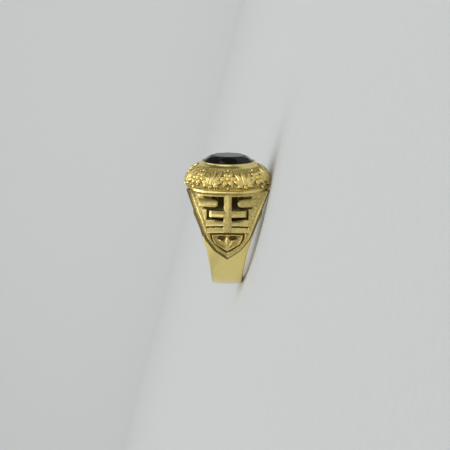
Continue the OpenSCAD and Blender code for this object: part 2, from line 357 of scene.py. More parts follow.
def with_steps(relief, f, h):
    """Lays two arched steps over the ground, below the crossbar."""
    arched = h + ARCH * f ** 2
    for low, top in ((FIELD_LOW, STEP_LINE - STEP_GAP), (STEP_LINE + STEP_GAP, BAR_LOW - SLOT)):
        step = ramp(box_distance(f, arched, FIELD_HALF + 0.1, low, top), 0.1)
        crest = np.interp((top - arched) / (top - low), *zip(*STEP_CREST))
        relief = relief * (1 - step) + crest * step
    return relief


def with_tabs(relief, f, h):
    """Lays a pillow-shaped tab with a round end from each side, tilted a little to the light."""
    side = np.abs(f)
    from_end = np.maximum(TAB_END + TAB_REACH - side, 0)
    from_middle = np.hypot(from_end, h - TAB_MIDDLE)
    tab = ramp(TAB_REACH - from_middle, 0.1) * ramp(WIDE_FIELD_HALF + 0.1 - side, 0.3)
    rise, tilt, sink = 0.28, 0.2, 0.22
    pillow = rise * bulge(from_middle, TAB_REACH)
    pillow += tilt * (TAB_TOP - h) / (TAB_TOP - TAB_LOW)
    return relief * (1 - tab) + (pillow - sink) * tab


def with_cross(relief, f, h):
    """Lays the crossbar with its two crests, and then the upright with its ridge."""
    wall, rounding, sink = 0.12, 0.45, 0.06
    bar = ramp(box_distance(f, h, BAR_HALF, BAR_LOW, BAR_TOP), wall)
    ends = np.clip((BAR_HALF - np.abs(f)) / rounding, 0, 1) ** 0.5
    bar_top = np.interp((BAR_TOP - h) / (BAR_TOP - BAR_LOW), *zip(*BAR_CRESTS)) * ends - sink
    relief = relief * (1 - bar) + bar_top * bar
    eaves, ridge_rise, ridge_at = 0.05, 0.28, 0.22
    post = ramp(box_distance(f, h, UPRIGHT_HALF, FIELD_LOW + 0.12, CORNER_HEIGHT + 1), wall)
    left = np.clip((f + UPRIGHT_HALF) / (ridge_at + UPRIGHT_HALF), 0, 1)
    right = np.clip((UPRIGHT_HALF - f) / (UPRIGHT_HALF - ridge_at), 0, 1)
    post_top = eaves + ridge_rise * np.minimum(left, right)
    return np.where(post > 0, np.maximum(relief, relief * (1 - post) + post_top * post), relief)

# %% The shield and the whole relief
def shield_relief(f, h):
    """The shield: a moulded edge round a domed ground with a rib, two rays, hollows and a bead."""
    side = np.abs(f)
    inside = shield_distance(f, h)
    within = ramp(inside - 0.3, 0.24)
    edge = 0.2 * bulge(inside - 0.2, 0.22, 0.6)
    groove = 0.24 * bump(inside + 0.08, 0.12)
    rise, root = 0.24, -1.35
    rib = rise * bump(side, 0.26) * ramp(h + 1.45, 0.3)
    ray_turn = math.radians(38)
    ray_line = side * math.cos(ray_turn) - (h - root) * math.sin(ray_turn)
    ray = rise * bump(ray_line, 0.2) * ramp(2.3 - np.hypot(side, h - root), 0.5)
    hollow = 0.5 * bump(side - 1.0, 0.55) * bump(h - 0.62, 0.3)
    bead = rise * bulge(np.hypot(f, h + 1.25), 0.34)
    ground = 0.12
    return edge - groove + within * (np.maximum(np.maximum(rib, ray), bead) - hollow - ground)


def panel_relief(f, h):
    """All of a panel's forms, laid over one another from the ground up."""
    ground = ground_mask(f, h)
    relief = border_relief(f, h) * (1 - ground) - GROUND_DEPTH * ground
    for lay in (with_roll, with_steps, with_tabs, with_cross):
        relief = lay(relief, f, h)
    return relief + shield_relief(f, h)


print("crest of the crossbar in mm:", round(float(panel_relief(2.5, 4.5)), 2))

# %% The panels as closed plates, joined to the shank
TOP_EASE, SIDE_EASE = 0.2, 0.16
BACK_R = FINGER_R - 0.9
ROW_STEP, COLUMNS, SPREAD = 0.085, 151, 0.94
# the rows of points lie closer together where the relief steps
STEPS_AT = (FIELD_LOW, STEP_LINE, BAR_LOW - SLOT, BAR_LOW, BAR_TOP)
STEPS_AT += (WINDOW_LOW, TAB_LOW, TAB_TOP, SHIELD_TOP)
near = [s + d for s in STEPS_AT for d in (-0.05, 0, 0.05)]
rows = np.concatenate([np.arange(PANEL_TIP + 0.04, CORNER_HEIGHT - TOP_EASE, ROW_STEP), near])
rows = np.unique(np.round(rows, 3))
rows = rows[np.concatenate([[True], np.diff(rows) > 0.02])]
eased = CORNER_HEIGHT - TOP_EASE + TOP_EASE * np.sin(np.linspace(0, math.pi / 2, 6))
plate_rows = np.concatenate([rows, eased])


def shoulder_plate(side):
    """One panel on the side where S is positive or negative."""
    share = np.linspace(-1, 1, COLUMNS)
    share = np.sign(share) * np.abs(share) ** SPREAD
    h, t = np.meshgrid(plate_rows, share, indexing="ij")
    f = t * np.maximum(panel_half(h), 0.04)
    relief = panel_relief(f, h)
    inside = np.clip(edge_distance(panel_half, f, h), 0, SIDE_EASE)
    relief -= SIDE_EASE - np.sqrt(SIDE_EASE ** 2 - (SIDE_EASE - inside) ** 2)
    away = np.clip(TOP_EASE - (CORNER_HEIGHT - h), 0, TOP_EASE)
    relief -= TOP_EASE - np.sqrt(TOP_EASE ** 2 - away ** 2)
    out = np.sqrt(np.maximum(crowned(PANEL_R + relief, f) ** 2 - (h - PANEL_RISE) ** 2, 0.01))
    front = np.stack([f, side * out, h], -1).reshape(-1, 3)
    back = front.copy()
    back[:, 1] = side * np.sqrt(BACK_R ** 2 - back[:, 2] ** 2)
    index = np.arange(len(front)).reshape(h.shape)
    ring = [*index[0], *index[1:, -1], *index[-1, -2::-1], *index[-2:0:-1, 0]]
    shift = len(front)
    walls = [(a, b, b + shift, a + shift) for a, b in zip(ring, ring[1:] + ring[:1])]
    faces = grid_faces(*h.shape)
    backs = grid_faces(*h.shape, start=shift)
    if side > 0:
        faces = faces[:, ::-1]
    else:
        backs = backs[:, ::-1]
        walls = [w[::-1] for w in walls]
    return mesh_piece("plate", np.concatenate([front, back]), faces.tolist() + walls + backs.tolist())


def hole_tool():
    """A long closed barrel for the finger hole, flared a little where it leaves the ring."""
    places = [[-9.5], np.linspace(-8.3, -7, 8), np.linspace(-6, 6, 13), np.linspace(7, 8.3, 8), [9.5]]
    places = np.concatenate(places)
    flare_from, flare_reach, flare_rate = 7.1, 1.4, 0.32
    flare = np.clip(np.abs(places) - flare_from, 0, flare_reach)
    radii = FINGER_R + 0.01 + flare_rate * flare ** 2
    sides = 240
    around = np.linspace(0, 2 * math.pi, sides, endpoint=False)
    points = [(f, r * math.cos(a), r * math.sin(a)) for f, r in zip(places, radii) for a in around]
    return closed_loft("hole", points, len(places), sides)


for side in (-1, 1):
    cut(band, shoulder_plate(side), "UNION")
cut(band, hole_tool())
print("shank with both panels:", len(band.data.polygons), "faces")

# %% [markdown]
# ## Piercing the shoulders
# Beside the upright the real panels are cut right through to the finger hole, and a deep slot
# runs under the crossbar and past its ends. Both are cut with closed blocks of the exact outline,
# so that the openings have clean walls and the inside of the ring, darkened there with painted
# shade, shows through.

# %% Windows and slots
turns = np.linspace(-math.pi / 2, -1.5 * math.pi, 17)
tab_centre = TAB_END + TAB_REACH
tab_arc = [(tab_centre + TAB_REACH * math.cos(t), TAB_MIDDLE + TAB_REACH * math.sin(t)) for t in turns]
window = [(UPRIGHT_HALF, WINDOW_LOW), (WINDOW_HALF, WINDOW_LOW), (WINDOW_HALF, TAB_LOW)]
window += tab_arc + [(WINDOW_HALF, TAB_TOP), (WINDOW_HALF, WINDOW_TOP), (UPRIGHT_HALF, WINDOW_TOP)]
slot_out = BAR_HALF + SLOT
SLOT_AT_POST = 0.62
slot = [
    (UPRIGHT_HALF, BAR_LOW - SLOT_AT_POST), (BAR_HALF - 0.6, BAR_LOW - SLOT),
    (slot_out, BAR_LOW - SLOT), (slot_out, BAR_TOP + SLOT), (BAR_HALF, BAR_TOP + SLOT),
    (BAR_HALF, BAR_LOW), (UPRIGHT_HALF, BAR_LOW + 0.06),
]
OUT, WINDOW_FLOOR, SLOT_FLOOR = 15, 4, 9.7
for hand in (-1, 1):
    for outline, floor in ((window, WINDOW_FLOOR), (slot, SLOT_FLOOR)):
        for low, high in ((-OUT, -floor), (floor, OUT)):
            cut(band, block([(hand * f, h) for f, h in outline], low, high))
print("pierced band:", len(band.data.vertices), "points,", len(band.data.polygons), "faces")

# %% [markdown]
# ## The head
# The head is a dome on a rounded oblong, with a lip at its foot, a frieze, a bezel moulding and a
# thin rim that is pushed over the stone. Level rings of a superellipse give this shape from a short
# table, and a closed loft can carry on over the rim, down the stone's seat and the light hole under
# it. The finger hole is then cut out of it, with its ends eased as a polisher leaves them.

# %% The dome's rings
# height, half length, half width, squareness: from the foot up, over the rim and down the seat
HEAD = np.array([
    (8.15, 8.05, 8.86, 2.55), (8.3, 8.1, 8.76, 2.6), (8.66, 8.16, 8.44, 2.75),
    (8.86, 8.02, 7.72, 3.15), (9.6, 7.68, 7.25, 3.1), (10.4, 7.1, 6.7, 2.8),
    (11.2, 6.42, 5.9, 2.5), (11.8, 5.92, 5.34, 2.35), (12.12, 5.68, 5.06, 2.25),
    (12.2, 5.62, 4.98, 2.25), (12.34, 5.44, 4.77, 2.2), (12.5, 5.29, 4.57, 2.15),
    (12.66, 5.2, 4.43, 2.1), (12.76, 5.16, 4.37, 2.1), (12.82, 5.08, 4.27, 2.1),
    (12.83, 4.96, 4.12, 2.05), (12.79, 4.86, 3.92, 2.0), (12.7, 4.88, 3.9, 2.0),
    (12.62, 5.04, 4.04, 2.0), (12.4, 5.05, 4.05, 2.0), (11.35, 2.9, 2.32, 2.0),
    (8.15, 2.9, 2.32, 2.0),
])
DOME_ROWS = 10
FRIEZE_LOW, FRIEZE_TOP, FRIEZE_MID = 8.75, 12.08, 10.45
HEAD_SIDES = 288


def ring_points(row, turns):
    """The points of a superellipse at the given turns round the head."""
    height, long, wide, square = row
    c = np.abs(np.cos(turns)) / long
    s = np.abs(np.sin(turns)) / wide
    r = (c ** square + s ** square) ** (-1 / square)
    return np.stack([r * np.cos(turns), r * np.sin(turns), height + 0 * r], -1)


# more rows between those of the table, with the corners between them eased
ROWS_EACH, EASING_PASSES = 5, 2
fine = np.linspace(0, len(HEAD) - 1, (len(HEAD) - 1) * ROWS_EACH + 1)
rows = np.stack([np.interp(fine, np.arange(len(HEAD)), HEAD[:, k]) for k in range(4)], -1)
for _ in range(EASING_PASSES):
    rows[1:-1] = (rows[:-2] + 2 * rows[1:-1] + rows[2:]) / 4
turns = np.linspace(0, 2 * math.pi, HEAD_SIDES, endpoint=False)
points = np.concatenate([ring_points(row, turns) for row in rows])
head = mesh_piece("ring_head", points, grid_faces(len(rows), HEAD_SIDES, True, True))
print("head:", len(rows), "rings")

# %% The finger hole through the head
cut(head, hole_tool())
cut(band, head, "UNION")
casting = band
casting.name = casting.data.name = "ring_casting"
casting.data.calc_loop_triangles()
print("casting:", len(casting.data.vertices), "points,", len(casting.data.loop_triangles), "triangles")

# %% [markdown]
# ## The frieze of flowers and leaves
# On the real head the band under the stone is filled with raised cast ornament. Here it is a
# traditional pair, a rosette and a fan of leaves, that repeats round the dome. Each motif is
# modelled once, and a Geometry Nodes tree sets copies at even distances along a straight line, as
# long as the way round the dome. The flat strip is then bent onto the dome.

# %% One petal or leaf as a closed pebble
def pebble(outline, height, crease=0.0, sink=0.35, rings=7, power=2.2):
    """A domed form over a flat outline, with a crease along its middle and a foot below."""
    outline = np.asarray(outline, float)
    count = len(outline)
    middle = outline.mean(0)
    points = []
    for k in range(rings):
        share = math.sin(math.pi / 2 * (k + 1) / rings)
        rim = middle + (outline - middle) * share
        dome = height * (1 - share ** power) ** (1 / power)
        groove = crease * np.exp(-(rim[:, 1] / 0.1) ** 2) * (1 - share ** 6)
        points.append(np.column_stack([rim, dome - groove]))
    points.append(np.column_stack([outline, np.full(count, -sink)]))
    top = [[middle[0], middle[1], height - crease]]
    base = [[middle[0], middle[1], -sink]]
    points = np.concatenate([top] + points + [base])
    faces = [[0, 1 + i, 1 + (i + 1) % count] for i in range(count)]
    for k in range(rings):
        low, high = 1 + k * count, 1 + (k + 1) * count
        around = [(i, (i + 1) % count) for i in range(count)]
        faces += [[low + i, high + i, high + j, low + j] for i, j in around]
    last, end = 1 + rings * count, len(points) - 1
    faces += [[last + (i + 1) % count, last + i, end] for i in range(count)]
    return points, faces


def placed(form, turn=0.0, shift=(0, 0, 0)):
    """A form turned about its height by degrees and shifted."""
    points, faces = form
    c, s = math.cos(math.radians(turn)), math.sin(math.radians(turn))
    turned = points @ np.array([[c, s, 0], [-s, c, 0], [0, 0, 1]])
    return turned + np.asarray(shift), faces


def gathered(name, forms):
    """One mesh from several forms, with a recess value that grows toward their foot, as patina and
    painted shade where they meet the dome.
    """
    points, faces = [], []
    for p, f in forms:
        start = sum(len(q) for q in points)
        points.append(p)
        faces += [[i + start for i in face] for face in f]
    points = np.concatenate(points)
    obj = mesh_piece(name, points, faces, Matrix.Identity(4))
    obj.data.shade_smooth()
    store(obj.data, "recess", np.clip(1.15 - points[:, 2] / 0.26, 0, 1))
    return obj

# %% The rosette and the leaf spray
def oval(long, wide, count=18, point=0.0):
    """A flat oval whose far end may come to a point."""
    turns = np.linspace(0, 2 * math.pi, count, endpoint=False)
    narrow = 1 - point * np.clip(np.cos(turns), 0, 1) ** 2
    back = 1 - 0.35 * np.clip(-np.cos(turns), 0, 1) ** 2
    return np.column_stack([long * np.cos(turns), wide * np.sin(turns) * narrow * back])


petal = pebble(oval(0.57, 0.43), 0.46, crease=0.08)
heart = pebble(oval(0.4, 0.4, 14), 0.6)
corner_bead = pebble(oval(0.2, 0.2, 10), 0.3, rings=4)
rosette_forms = [placed(placed(petal, 0, (0.78, 0, 0)), 60 * k + 30) for k in range(6)]
rosette_forms += [placed(corner_bead, 0, (x, y, -0.04)) for x in (-1.38, 1.3) for y in (-0.62, 0.62)]
bud = pebble(oval(0.42, 0.26, 14, 0.4), 0.38, crease=0.05, rings=5)
rosette_forms += [placed(bud, turn, (x, 0, -0.02)) for turn, x in ((180, -1.62), (0, 1.66))]
rosette = gathered("rosette", rosette_forms + [heart])


def leaf(length, width, height):
    form = pebble(oval(length / 2, width / 2, 22, 0.35), height, crease=0.1)
    return placed(form, 0, (length / 2, 0, 0))


# length, width, height and turn of each side leaf, and the place of its foot
SIDE_LEAVES = (
    (2.75, 0.86, 0.6, 154, 1.2, 0.16, 0), (1.7, 0.74, 0.54, 122, 1.15, 0.3, -0.01),
    (0.95, 0.6, 0.46, 84, 1.25, 0.25, -0.02),
)
spray_forms = [placed(leaf(2.95, 0.92, 0.64), 180, (1.3, 0, 0))]
for side in (-1, 1):
    for length, width, tall, angle, x, y, z in SIDE_LEAVES:
        spray_forms.append(placed(leaf(length, width, tall), angle * side, (x, y * side, z)))
spray_forms.append(placed(pebble(oval(0.38, 0.38, 14), 0.5), 0, (1.5, 0, 0)))
spray = gathered("spray", spray_forms)
print("rosette and spray:", len(rosette.data.polygons), "and", len(spray.data.polygons), "faces")

# %% The dome under the frieze, and the line of the motifs
def on_dome(height, turns):
    """Points on the dome at a height and at the given turns round it."""
    table = HEAD[:DOME_ROWS]
    row = [height] + [np.interp(height, table[:, 0], table[:, k]) for k in (1, 2, 3)]
    return ring_points(row, turns)


def out_of_dome(height, turns):
    """The directions out of the dome at those points."""
    ahead = on_dome(height, turns + 0.01) - on_dome(height, turns - 0.01)
    up = on_dome(height + 0.05, turns) - on_dome(height - 0.05, turns)
    out = np.cross(ahead, up)
    return out / np.linalg.norm(out, axis=1)[:, None]


path_turns = np.linspace(0, 2 * math.pi, 721)
here = on_dome(FRIEZE_MID, path_turns)
walked = np.concatenate([[0], np.cumsum(np.linalg.norm(np.diff(here, axis=0), axis=1))])
PAIRS = 8
path_mesh = bpy.data.meshes.new("frieze_path")
path_mesh.from_pydata([(0, 0, 0), (walked[-1] * (1 - 0.5 / PAIRS), 0, 0)], [(0, 1)], [])
path = link(bpy.data.objects.new("frieze_path", path_mesh))
print("frieze path in mm:", round(float(walked[-1]), 1))

# %% Helpers for node trees
def new_tree(name, inputs, outputs, kind="GeometryNodeTree"):
    """A tree, the sockets of its (name, socket type, default) inputs, and its output node."""
    tree = bpy.data.node_groups.new(name, kind)
    for label, socket, default in inputs:
        made = tree.interface.new_socket(label, in_out="INPUT", socket_type=socket)
        if default is not None:
            made.default_value = default
    for label, socket in outputs:
        tree.interface.new_socket(label, in_out="OUTPUT", socket_type=socket)
    return tree, tree.nodes.new("NodeGroupInput").outputs, tree.nodes.new("NodeGroupOutput")


def feed(target, **inputs):
    """Sets a node's inputs to values, or links them to other nodes or their outputs."""
    for key, value in inputs.items():
        key = key.replace("_", " ")
        numbered = key[0] == "i" and key[1:].isdigit()
        socket = target.inputs[int(key[1:]) if numbered else key]
        if isinstance(value, bpy.types.Node):
            value = value.outputs[0]
        if isinstance(value, bpy.types.NodeSocket):
            target.id_data.links.new(value, socket)
        else:
            socket.default_value = value
    return target


def node(tree, kind, settings=None, **inputs):
    """A new node with its settings and its inputs."""
    made = tree.nodes.new(kind)
    for key, value in (settings or {}).items():
        setattr(made, key, value)
    return feed(made, **inputs)


def combined(tree, kind, a, b, clamp=False):
    """Two values added, multiplied or combined in another way."""
    return node(tree, "ShaderNodeMath", {"operation": kind, "use_clamp": clamp}, i0=a, i1=b).outputs[0]


def mapped(tree, value, low, high, to_low=0.0, to_high=1.0, curve="LINEAR"):
    """A value stretched from one range to another, and held inside the new one."""
    return node(tree, "ShaderNodeMapRange", {"interpolation_type": curve}, Value=value,
                From_Min=low, From_Max=high, To_Min=to_low, To_Max=to_high).outputs[0]


def mixed(tree, share, first, second):
    """Two colours mixed, by the share of the second."""
    return node(tree, "ShaderNodeMix", {"data_type": "RGBA"}, i0=share, i6=first, i7=second).outputs[2]


def shader_parts(material):
    """A material's tree, its shader and its Object coordinates."""
    material.use_nodes = True
    tree = material.node_tree
    return tree, tree.nodes["Principled BSDF"], node(tree, "ShaderNodeTexCoord").outputs["Object"]


def run_tree(obj, tree, values, name):
    """Runs a Geometry Nodes tree on an object and returns its result as a plain mesh piece."""
    step = obj.modifiers.new("Nodes", "NODES")
    step.node_group = tree
    for item in tree.interface.items_tree:
        if item.item_type == "SOCKET" and item.in_out == "INPUT" and item.name in values:
            step[item.identifier] = values[item.name]
    return link(bpy.data.objects.new(name, plain_mesh(obj, name)))


def remove(*objects):
    for obj in objects:
        mesh = obj.data
        bpy.data.objects.remove(obj)
        bpy.data.meshes.remove(mesh)

# %% A tree that sets two motifs by turns along a path
gold_frieze = bpy.data.materials.new("frieze_gold")
tree, given, made = new_tree("Motifs along a path", [
    ("Path", "NodeSocketGeometry", None), ("Pairs", "NodeSocketInt", 8),
    ("First motif", "NodeSocketObject", None), ("Second motif", "NodeSocketObject", None),
    ("Size", "NodeSocketFloat", 1.0), ("Gold", "NodeSocketMaterial", None),
], [("Motifs", "NodeSocketGeometry")])
curve = node(tree, "GeometryNodeMeshToCurve", Mesh=given["Path"])
places = combined(tree, "MULTIPLY", given["Pairs"], 2.0)
spaced = node(tree, "GeometryNodeResampleCurve", Curve=curve, Count=places)
odd = combined(tree, "MODULO", node(tree, "GeometryNodeInputIndex"), 2.0)
even = combined(tree, "SUBTRACT", 1.0, odd)
join = node(tree, "GeometryNodeJoinGeometry")
for label, choice in (("First motif", even), ("Second motif", odd)):
    motif = node(tree, "GeometryNodeObjectInfo", Object=given[label])
    feed(join, Geometry=node(
        tree, "GeometryNodeInstanceOnPoints", Points=spaced, Selection=choice,
        Instance=motif.outputs["Geometry"], Rotation=(0, 0, -math.pi / 2), Scale=given["Size"],
    ))
real = node(tree, "GeometryNodeRealizeInstances", Geometry=join)
coated = node(tree, "GeometryNodeSetMaterial", Geometry=real, Material=given["Gold"])
feed(made, Motifs=coated)

MOTIF_SIZE = 1.16
motifs = run_tree(path, tree, {
    "Pairs": PAIRS, "First motif": rosette, "Second motif": spray,
    "Size": MOTIF_SIZE, "Gold": gold_frieze,
}, "frieze_motifs")
remove(path, rosette, spray)
print("motifs:", len(motifs.data.polygons), "faces")

# %% Bending the strip onto the dome
# X runs round the head, Y up it and Z out of it
u, v, z = read_points(motifs.data).astype(float).T
turns = np.interp(u % walked[-1], walked, path_turns)
levels = np.linspace(8.2, 12.3, 83)
outlines = np.stack([on_dome(level, turns) for level in levels])
climbed = np.cumsum(np.linalg.norm(np.diff(outlines, axis=0), axis=2), axis=0)
climbed = np.concatenate([np.zeros((1, len(u))), climbed])
above = climbed - climbed[int(np.argmin(np.abs(levels - FRIEZE_MID)))]
step = np.clip((above < v).sum(0), 1, len(levels) - 1)
each = np.arange(len(u))
share = (v - above[step - 1, each]) / (above[step, each] - above[step - 1, each])
heights = levels[step - 1] + share * (levels[1] - levels[0])
bent = on_dome(heights, turns) + z[:, None] * out_of_dome(heights, turns)
write_points(motifs.data, bent, LAY_DOWN)

# what would reach into the finger hole is pushed out to a little more than its radius
points = upright_points(motifs.data)
away = np.hypot(points[:, 1], points[:, 2])
points[:, 1:] *= np.maximum((FINGER_R + 0.1) / away, 1)[:, None]
write_points(motifs.data, points, LAY_DOWN)
print("frieze reaches up to mm:", round(float(points[:, 2].max()), 1))

# %% [markdown]
# ## The grained ground
# Between the motifs the casting is pebbled, like old granulation. Grains could be a bump in the
# material, but they catch the light one by one, so small half-sunk beads are scattered over the
# ground instead. The scatter keeps a least distance between grains and has a fixed seed.

# %% The ground strip, open where a motif covers it
GROUND_COLUMNS, GROUND_ROWS = 240, 16
UNDER_MOTIF = 0.8
ground_turns = np.linspace(0, 2 * math.pi, GROUND_COLUMNS, endpoint=False)
heights = np.linspace(FRIEZE_LOW, FRIEZE_TOP, GROUND_ROWS)
ground_points = np.concatenate([on_dome(float(h), ground_turns) for h in heights])
centre_turns = np.interp(np.arange(2 * PAIRS) / (2 * PAIRS) * walked[-1], walked, path_turns)
centres = on_dome(FRIEZE_MID, centre_turns)
near = np.linalg.norm(ground_points[:, None] - centres[None], axis=2).min(1)
ground_faces = grid_faces(GROUND_ROWS, GROUND_COLUMNS, wrap_columns=True)
ground = mesh_piece("ground", ground_points, ground_faces, Matrix.Identity(4))
clear_of_hole = np.hypot(ground_points[:, 1], ground_points[:, 2]) > FINGER_R + 0.25
store(ground.data, "open", ((near > UNDER_MOTIF) & clear_of_hole).astype(float))
print("ground strip:", len(ground_points), "points")

# %% A tree that scatters grains
tree, given, made = new_tree("Scattered grains", [
    ("Ground", "NodeSocketGeometry", None), ("Spacing", "NodeSocketFloat", 0.3),
    ("Grain", "NodeSocketFloat", 0.13), ("Seed", "NodeSocketInt", 5),
    ("Gold", "NodeSocketMaterial", None),
], [("Grains", "NodeSocketGeometry")])
open_part = node(tree, "GeometryNodeInputNamedAttribute", {"data_type": "FLOAT"}, Name="open")
scatter = node(tree, "GeometryNodeDistributePointsOnFaces", {"distribute_method": "POISSON"},
               Mesh=given["Ground"], Distance_Min=given["Spacing"],
               Density_Max=60.0, Density_Factor=open_part, Seed=given["Seed"])
grain = node(tree, "GeometryNodeMeshIcoSphere", Radius=given["Grain"], Subdivisions=2)
size = node(tree, "FunctionNodeRandomValue", {"data_type": "FLOAT"}, i2=0.7, i3=1.15,
            Seed=given["Seed"])
copies = node(tree, "GeometryNodeInstanceOnPoints", Points=scatter, Instance=grain,
              Rotation=scatter.outputs["Rotation"], Scale=size.outputs[1])
real = node(tree, "GeometryNodeRealizeInstances", Geometry=copies)
rounded = node(tree, "GeometryNodeSetShadeSmooth", Geometry=real)
coated = node(tree, "GeometryNodeSetMaterial", Geometry=rounded, Material=given["Gold"])
feed(made, Grains=coated)

grains = run_tree(ground, tree, {
    "Spacing": 0.29, "Grain": 0.14, "Seed": 5, "Gold": gold_frieze,
}, "frieze_grains")
grains.data.transform(LAY_DOWN)
remove(ground)
GRAIN_DIRT = 0.47
store(grains.data, "recess", np.full(len(grains.data.vertices), GRAIN_DIRT))
FACES_A_GRAIN = 80
print("grains:", len(grains.data.polygons) // FACES_A_GRAIN)

# %% [markdown]
# ## The stone
# The real stone is a black onyx cut as an oval brilliant: an eight-sided table, stars, kites and
# girdle facets, and a faceted back. Facets have to be truly flat, so they are written out corner
# by corner, and a bevel a few hundredths of a millimetre wide gives every edge its thin bright line.

# %% The stone's facets
def gem_point(turn, share, height):
    angle = math.radians(turn)
    return (share * STONE_HALF_LONG * math.cos(angle), share * STONE_HALF_WIDE * math.sin(angle), height)


STEP = 22.5
star_height = CROWN_HEIGHT * (1 - 0.8 * math.cos(math.radians(STEP))) / (1 - TABLE_SHARE)
belly_height = PAVILION_DEPTH * (1 - 0.3 * math.cos(math.radians(STEP)))
points = [gem_point(2 * STEP * k, TABLE_SHARE, table_height) for k in range(8)]
points += [gem_point(2 * STEP * k + STEP, 0.8, GIRDLE_TOP + star_height) for k in range(8)]
points += [gem_point(STEP * k, 1, GIRDLE_TOP) for k in range(16)]
points += [gem_point(STEP * k, 1, GIRDLE_LOW) for k in range(16)]
points += [gem_point(2 * STEP * k + STEP, 0.3, GIRDLE_LOW - belly_height) for k in range(8)]
points += [(0, 0, GIRDLE_LOW - PAVILION_DEPTH)]
faces = [list(range(8))]
for k in range(8):
    follow, before, g, after = (k + 1) % 8, (k + 7) % 8, 2 * k, (2 * k + 2) % 16
    faces += [
        [k, 8 + k, follow], [k, 8 + before, 16 + g, 8 + k], [8 + k, 16 + g, 16 + g + 1],
        [8 + k, 16 + g + 1, 16 + after], [16 + g, 32 + g, 32 + g + 1, 16 + g + 1],
        [16 + g + 1, 32 + g + 1, 32 + after, 16 + after], [48 + k, 32 + g + 1, 32 + g],
        [48 + k, 32 + after, 32 + g + 1], [56, 48 + k, 32 + g, 48 + before],
    ]
stone = mesh_piece("onyx_gem", points, faces)
BEVEL_METRES = 0.00004
bevel = stone.modifiers.new("Bevel", "BEVEL")
bevel.width = BEVEL_METRES
bevel.segments = 2
bevel.limit_method = "NONE"
print("stone:", len(faces), "facets")

# %% [markdown]
# ## Gold
# The real ring is pale yellow gold, polished where a hand can reach it and darker in the recesses,
# where polish and dust stay. A mask for those recesses is worked out from each mesh and kept as a
# value on its points. The same value also holds painted shade, behind and beside the windows, on
# and under the crossbar, on the upright and more on the left, and painted highlights on crests and
# the right rim. One shared node group turns it into colour and roughness, and adds faint smudges,
# fine scratches round the hoop and the small pits of a casting as roughness and fine relief.

# %% Where each point of the casting lies
points = upright_points(casting.data)
long, height = points[:, 0], points[:, 2]
side = np.abs(long)
inner = np.hypot(points[:, 1], height) < FINGER_R + 0.1
over = height > CORNER_HEIGHT + 0.01
edge = edge_distance(panel_half, long, height)
on_panel = (edge > 0.12) & (height > PANEL_TIP) & ~over
# how far each point lies below the panel's border, in millimetres
below = crowned(PANEL_R, long) - np.hypot(points[:, 1], height - PANEL_RISE)
# the left side, where outlines and bands get extra painted shade
left_side = ramp(-long, 1.0)
strip = over * ramp(height - FRIEZE_LOW, 0.1) * ramp(FRIEZE_TOP + 0.05 - height, 0.1)
cove = over * ramp(height - 12.16, 0.1) * ramp(12.66 - height, 0.12)
# painted shade on the inside of the hoop behind the windows, a soft oval, so that the windows look dark
shade_behind_windows = ramp(1 - np.hypot(long / 4.7, (height - 3.5) / 4.0), 0.95)
print("points in the finger hole and on the panels:", int(inner.sum()), "and", int(on_panel.sum()))

# %% Darker along the panel's outline, as patina and painted shade, and darker round and in the shield
# patina in the crevice along the outline, with painted shade added that is deeper and wider on the left
outline = bump(edge - 0.08 - 0.12 * left_side, 0.17 + 0.1 * left_side) * (height > PANEL_TIP - 0.2)
outline = np.maximum(outline, (edge < 0.1) * ramp(height - 0.6, 1.2) * (0.7 + 0.3 * left_side))
outline *= ramp(CORNER_HEIGHT + 0.1 - height, 0.3)
# painted shade along the border of the panel's pointed lower end, deeper on the left
tip_border_shade = bump(edge - 0.4, 0.32) * (height > PANEL_TIP) * ramp(1.2 - height, 1.2)
tip_border_shade *= 0.3 + 0.35 * ramp(-long, 1.5)
in_shield = ramp(shield_distance(long, height) - 0.3, 0.2) * np.clip((below + 0.03) / 0.2, 0, 1)
shield_line = bump(shield_distance(long, height) + 0.07, 0.11)
print("points near the outline:", int((outline > 0.5).sum()))

# %% The sunk ground darker; painted shade round the windows, the cross and the upright; painted highlights on crests and the right rim
BAR_RIDGE = 4.95
sunk = 0.72 * np.clip((below - 0.06) / 0.16, 0, 1) + 0.28 * np.clip((below - 0.4) / 0.3, 0, 1)
# painted shade on the ground beside the windows
shade_near_window = ramp(4.6 - side, 1.6) * ramp(height - 5.6, 0.3) * ramp(below - 0.2, 0.15)
# the upright is darkened all along and more on its left side: painted shade
post = (side < UPRIGHT_HALF) * ramp(height - FIELD_LOW, 0.2)
beside = 1 - post
along_bar = ramp(BAR_HALF - side, 0.3) * beside
# painted shade on the upper facet of the crossbar
shaded_bar_back = along_bar * ramp(height - BAR_RIDGE, 0.3) * ramp(BAR_TOP + 0.1 - height, 0.1)
# painted highlight along the crossbar's lower crest
bar_crest_highlight = along_bar * ramp(height - BAR_LOW, 0.1) * ramp(BAR_RIDGE - height, 0.2)
# painted shade under the crossbar, deepest near the upright
shade_under_bar = ramp(2.6 - side, 1.4) * bump(height - BAR_LOW + 0.45, 0.4) * (height < BAR_LOW) * beside
# the steps: darker towards the right as painted shade, and kept lighter than the rest of the panel as a
# painted highlight
steps = ramp(FIELD_HALF - side, 0.3) * ramp(height - FIELD_LOW, 0.2) * ramp(BAR_LOW - height, 0.2)
steps *= beside
# painted highlight along the rim of the border on the right
right_rim_highlight = bump(edge - 0.37, 0.15) * ramp(long - 0.5, 1.0) * ramp(height - 0.5, 1.0)
print("points on the upright and the steps:", int((post + steps > 0.5).sum()))

